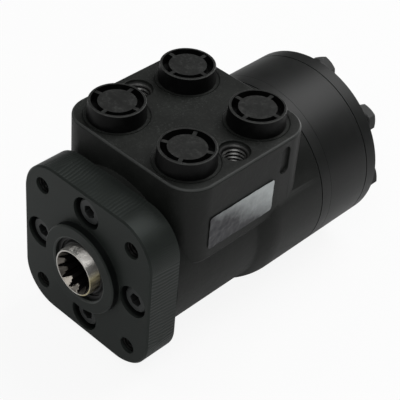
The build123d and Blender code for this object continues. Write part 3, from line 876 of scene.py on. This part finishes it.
# threads in the tapped holes: radii, pitch and the start below the mouth in mm
studThread = {
    "wall": 5.9,
    "crest": 4.95,
    "pitch": 2.0,
    "foot": 0.48,  # half the ridge's foot, as a share of the pitch
    "sunk": 0.1,  # how far the foot lies inside the wall
    "turns": 6,
    "steps": 48,
    "startBelow": 3.4,
    "finish": studFinish,
}
columnThread = {
    "wall": 4.25,
    "crest": 3.65,
    "pitch": 1.5,
    "foot": 0.48,
    "sunk": 0.1,
    "turns": 8,
    "steps": 32,
    "startBelow": 1.2,
    "finish": columnFinish,
}


def windThread(settings):
    # a ridge on the hole's wall, wound down from the origin
    deselect()
    bpy.ops.mesh.primitive_circle_add(vertices=3, radius=1.0, fill_type="NGON")
    ridge = bpy.context.object
    pitch = settings["pitch"]
    foot = (settings["wall"] + settings["sunk"]) * mm
    half = pitch * settings["foot"] * mm
    corners = ((settings["crest"] * mm, 0, 0), (foot, 0, half), (foot, 0, -half))
    for vertex, corner in zip(ridge.data.vertices, corners):
        vertex.co = corner
    applied(
        ridge,
        "SCREW",
        axis="Z",
        angle=math.radians(360),
        screw_offset=-pitch * mm,
        iterations=settings["turns"],
        steps=settings["steps"],
        render_steps=settings["steps"],
        use_merge_vertices=True,
    )
    bpy.ops.object.mode_set(mode="EDIT")
    bpy.ops.mesh.select_all(action="SELECT")
    bpy.ops.mesh.remove_doubles(threshold=1e-7)
    # both ends are closed
    bpy.ops.mesh.select_all(action="DESELECT")
    bpy.ops.mesh.select_mode(type="EDGE")
    bpy.ops.mesh.select_non_manifold()
    bpy.ops.mesh.edge_face_add()
    bpy.ops.mesh.select_all(action="SELECT")
    bpy.ops.mesh.normals_make_consistent(inside=False)
    bpy.ops.object.mode_set(mode="OBJECT")
    smoothBelow(30)
    return ridge


def cutThreads(settings, axis, starts):
    # axis points out of the holes; starts gives each piece's name and where it begins
    ridge = windThread(settings)
    for name, start in starts.items():
        piece = ownCopy(ridge, name)
        piece.rotation_mode = "QUATERNION"
        piece.rotation_quaternion = Vector((0, 0, 1)).rotation_difference(Vector(axis))
        piece.location = start
        bakePlace(piece)
        dress(piece, settings["finish"])
        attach(piece, "root")
    bpy.data.objects.remove(ridge)


studX, studY = (part * mm for part in studCentre)
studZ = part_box("housing")[1].z - studThread["startBelow"] * mm
cutThreads(
    studThread,
    (0, 0, 1),
    {
        "stud_thread_left": (-studX, studY, studZ),
        "stud_thread_right": (studX, studY, studZ),
    },
)
off = columnOffset * mm
deep = columnThread["startBelow"] * mm
cutThreads(
    columnThread,
    (0, -1, 0),
    {
        "column_thread_1": (-off, deep, off),
        "column_thread_2": (off, deep, off),
        "column_thread_3": (off, deep, -off),
        "column_thread_4": (-off, deep, -off),
    },
)
print("threads cut")


stageSet = {
    "floorZ": -46.2 * mm,
    "size": 6.0,
    "floor": (0.82, 0.82, 0.82),
    "seen": 0.9,  # how much of the floor shows as plain white; the rest shows the shadow
    "world": 0.12,
}
white = (1, 1, 1)


def buildFloor(settings):
    deselect()
    bpy.ops.mesh.primitive_plane_add(size=settings["size"], location=(0, 0, settings["floorZ"]))
    floor = bpy.context.object
    floor.name = "floor"
    material = bpy.data.materials.new("floorWhite")
    sheet = NodeSheet(material)
    sheet.tree.nodes.clear()
    seen = sheet.add("ShaderNodeLightPath", out="Is Camera Ray") * settings["seen"]
    matt = sheet.add("ShaderNodeBsdfDiffuse", {"Color": settings["floor"]})
    glow = sheet.add("ShaderNodeEmission", {"Color": white, "Strength": 1.0})
    mixed = sheet.add("ShaderNodeMixShader", [seen, matt, glow])
    sheet.add("ShaderNodeOutputMaterial", {"Surface": mixed})
    floor.data.materials.append(material)


def buildWorld(settings):
    world = bpy.data.worlds.new("studio")
    bpy.context.scene.world = world
    sheet = NodeSheet(world)
    sheet.tree.nodes.clear()
    seen = sheet.add("ShaderNodeLightPath", out="Is Camera Ray")
    soft = sheet.add("ShaderNodeBackground", {"Color": white, "Strength": settings["world"]})
    plain = sheet.add("ShaderNodeBackground", {"Color": white, "Strength": 1.0})
    mixed = sheet.add("ShaderNodeMixShader", [seen, soft, plain])
    sheet.add("ShaderNodeOutputWorld", {"Surface": mixed})


# softboxes, all turned to one point of the part; places and sizes in metres
lampTarget = (0.0, 0.07, 0.0)
lampSet = {
    "key": {"place": (0.12, 0.84, 1.08), "size": (0.95, 0.75), "power": 11.2},
    "front": {"place": (0.38, -0.55, 1.0), "size": (0.9, 0.7), "power": 5.5},
    "left": {"place": (-0.62, -0.20, 1.05), "size": (0.5, 0.5), "power": 2.2},
    "rear": {"place": (-0.20, 1.45, 0.22), "size": (0.7, 0.5), "power": 3.2},
}


def softbox(name, settings):
    data = bpy.data.lights.new(name, "AREA")
    data.shape = "RECTANGLE"
    data.size, data.size_y = settings["size"]
    data.energy = settings["power"]
    lamp = bpy.data.objects.new(name, data)
    bpy.context.scene.collection.objects.link(lamp)
    lamp.location = settings["place"]
    aim = Vector(lampTarget) - Vector(settings["place"])
    lamp.rotation_mode = "QUATERNION"
    lamp.rotation_quaternion = aim.to_track_quat("-Z", "Y")


buildFloor(stageSet)
buildWorld(stageSet)
for name, settings in lampSet.items():
    softbox(name, settings)
bpy.context.scene.view_settings.view_transform = "Standard"
print("stage and lights set")
